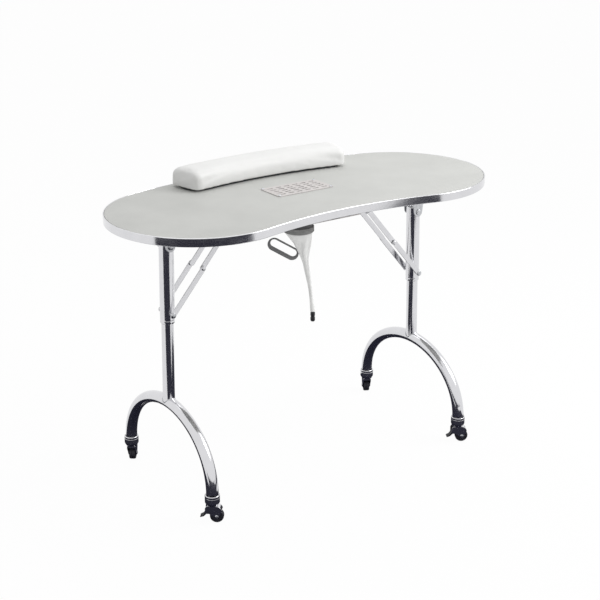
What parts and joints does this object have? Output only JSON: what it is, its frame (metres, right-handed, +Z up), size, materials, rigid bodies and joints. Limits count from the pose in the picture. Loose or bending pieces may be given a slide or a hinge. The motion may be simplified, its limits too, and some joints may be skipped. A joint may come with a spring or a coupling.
{
  "type": "manicure table",
  "caption": "Folding manicure table: kidney-shaped top with wrist cushion and suction grille over a fan, on arched chrome legs with casters.",
  "frame": {"origin": "centre of the bounding box at floor level", "axes": "+X along the table's length to the operator's right, +Y towards the client's cushion side, +Z up"},
  "size_m": [1.0498, 0.485, 0.7714],
  "materials": {
    "laminate": "satin pale grey laminate",
    "edge_chrome": "polished edge band",
    "white_plastic": "moulded, fine grain",
    "leatherette": "soft white leatherette",
    "bag_cloth": "thin woven cloth",
    "webbing": "woven webbing",
    "black_plastic": "moulded",
    "elastic": "ribbed elastic",
    "zinc_steel": "zinc plated",
    "tube_chrome": "polished",
    "stay_chrome": "polished strip",
    "caster_chrome": "polished pressing",
    "tyre": "black tread",
    "lever_plastic": "moulded"
  },
  "bodies": {
    "table": {"table_board": "laminate", "edge_trim": "edge_chrome", "suction_grille": "white_plastic", "fan_box": "white_plastic", "wrist_cushion": "leatherette", "dust_bag": "bag_cloth", "bag_pull_loop": "webbing", "cushion_base": "black_plastic", "fan_frame": "black_plastic", "fan_motor": "black_plastic", "bag_collar": "black_plastic", "bag_toggle": "black_plastic", "switch_bezel": "black_plastic", "power_inlet": "black_plastic", "bag_band": "elastic", "left_hinge_bracket": "zinc_steel", "left_hinge_pin": "zinc_steel", "left_stay_bracket": "zinc_steel", "left_stay_bracket_pin": "zinc_steel", "right_hinge_bracket": "zinc_steel", "right_hinge_pin": "zinc_steel", "right_stay_bracket": "zinc_steel", "right_stay_bracket_pin": "zinc_steel"},
    "left_leg": {"left_leg_sleeve": "tube_chrome", "left_post": "tube_chrome", "left_arch": "tube_chrome", "left_stay_post_pin": "zinc_steel", "left_front_ferrule": "caster_chrome", "left_rear_ferrule": "caster_chrome"},
    "left_upper_stay": {"left_upper_stay_front": "stay_chrome", "left_upper_stay_rear": "stay_chrome"},
    "left_lower_stay": {"left_lower_stay_front": "stay_chrome", "left_lower_stay_rear": "stay_chrome"},
    "left_front_caster": {"left_front_fork": "caster_chrome", "left_front_axle": "zinc_steel"},
    "left_front_roller": {"left_front_wheel": "tyre"},
    "left_rear_caster": {"left_rear_fork": "caster_chrome", "left_rear_axle": "zinc_steel"},
    "left_rear_roller": {"left_rear_wheel": "tyre"},
    "left_brake": {"left_front_lever": "lever_plastic"},
    "right_leg": {"right_leg_sleeve": "tube_chrome", "right_post": "tube_chrome", "right_arch": "tube_chrome", "right_stay_post_pin": "zinc_steel", "right_front_ferrule": "caster_chrome", "right_rear_ferrule": "caster_chrome"},
    "right_upper_stay": {"right_upper_stay_front": "stay_chrome", "right_upper_stay_rear": "stay_chrome"},
    "right_lower_stay": {"right_lower_stay_front": "stay_chrome", "right_lower_stay_rear": "stay_chrome"},
    "right_front_caster": {"right_front_fork": "caster_chrome", "right_front_axle": "zinc_steel"},
    "right_front_roller": {"right_front_wheel": "tyre"},
    "right_rear_caster": {"right_rear_fork": "caster_chrome", "right_rear_axle": "zinc_steel"},
    "right_rear_roller": {"right_rear_wheel": "tyre"},
    "right_brake": {"right_front_lever": "lever_plastic"},
    "rotor": {"fan_rotor": "black_plastic"},
    "rocker": {"switch_rocker": "black_plastic"}
  },
  "joints": [
    {"name": "left_leg_fold", "type": "hinge", "parent": "table", "child": "left_leg", "pos_m": [-0.377, 0.0075, 0.642], "axis": [0, -1, 0], "range_deg": [0, 91]},
    {"name": "right_leg_fold", "type": "hinge", "parent": "table", "child": "right_leg", "pos_m": [0.377, 0.0075, 0.6], "axis": [0, 1, 0], "range_deg": [0, 91]},
    {"name": "left_upper_stay_swing", "type": "hinge", "parent": "table", "child": "left_upper_stay", "pos_m": [-0.207, 0.0075, 0.676], "axis": [0, 1, 0], "range_deg": [0, 42.5]},
    {"name": "left_lower_stay_swing", "type": "hinge", "parent": "left_leg", "child": "left_lower_stay", "pos_m": [-0.37997, 0.0075, 0.47203], "axis": [0, -1, 0], "range_deg": [0, 32.1]},
    {"name": "right_upper_stay_swing", "type": "hinge", "parent": "table", "child": "right_upper_stay", "pos_m": [0.207, 0.0075, 0.634], "axis": [0, -1, 0], "range_deg": [0, 42.5]},
    {"name": "right_lower_stay_swing", "type": "hinge", "parent": "right_leg", "child": "right_lower_stay", "pos_m": [0.37997, 0.0075, 0.43003], "axis": [0, 1, 0], "range_deg": [0, 32.1]},
    {"name": "left_front_swivel", "type": "hinge", "parent": "left_leg", "child": "left_front_caster", "pos_m": [-0.38719, -0.1925, 0.05], "axis": [0, 0, 1], "continuous": true},
    {"name": "left_front_wheel_roll", "type": "hinge", "parent": "left_front_caster", "child": "left_front_roller", "pos_m": [-0.37892, -0.19896, 0.017], "axis": [0.6157, 0.788, 0], "continuous": true},
    {"name": "left_rear_swivel", "type": "hinge", "parent": "left_leg", "child": "left_rear_caster", "pos_m": [-0.38719, 0.2075, 0.05], "axis": [0, 0, 1], "continuous": true},
    {"name": "left_rear_wheel_roll", "type": "hinge", "parent": "left_rear_caster", "child": "left_rear_roller", "pos_m": [-0.38073, 0.21577, 0.017], "axis": [-0.788, 0.6157, 0], "continuous": true},
    {"name": "left_brake_press", "type": "hinge", "parent": "left_front_caster", "child": "left_brake", "pos_m": [-0.39704, -0.1848, 0.029], "axis": [-0.6157, -0.788, 0], "range_deg": [0, 15]},
    {"name": "right_front_swivel", "type": "hinge", "parent": "right_leg", "child": "right_front_caster", "pos_m": [0.38646, -0.1925, 0.05], "axis": [0, 0, 1], "continuous": true},
    {"name": "right_front_wheel_roll", "type": "hinge", "parent": "right_front_caster", "child": "right_front_roller", "pos_m": [0.39555, -0.19775, 0.017], "axis": [0.5, 0.866, 0], "continuous": true},
    {"name": "right_rear_swivel", "type": "hinge", "parent": "right_leg", "child": "right_rear_caster", "pos_m": [0.38646, 0.2075, 0.05], "axis": [0, 0, 1], "continuous": true},
    {"name": "right_rear_wheel_roll", "type": "hinge", "parent": "right_rear_caster", "child": "right_rear_roller", "pos_m": [0.39171, 0.21659, 0.017], "axis": [-0.866, 0.5, 0], "continuous": true},
    {"name": "right_brake_press", "type": "hinge", "parent": "right_front_caster", "child": "right_brake", "pos_m": [0.37563, -0.18625, 0.029], "axis": [-0.5, -0.866, 0], "range_deg": [0, 15]},
    {"name": "fan_spin", "type": "hinge", "parent": "table", "child": "rotor", "pos_m": [-0.0885, -0.125, 0.692], "axis": [0, 0, 1], "continuous": true},
    {"name": "switch_rock", "type": "hinge", "parent": "table", "child": "rocker", "pos_m": [-0.01, -0.1669, 0.6918], "axis": [0, 0, 1], "range_deg": [0, 18]}
  ],
  "couplings": [
    {"joint": "left_upper_stay_swing", "follows": "left_leg_fold", "ratio": 0.46589},
    {"joint": "left_lower_stay_swing", "follows": "left_leg_fold", "ratio": 0.3516},
    {"joint": "right_upper_stay_swing", "follows": "right_leg_fold", "ratio": 0.46589},
    {"joint": "right_lower_stay_swing", "follows": "right_leg_fold", "ratio": 0.3516}
  ]
}
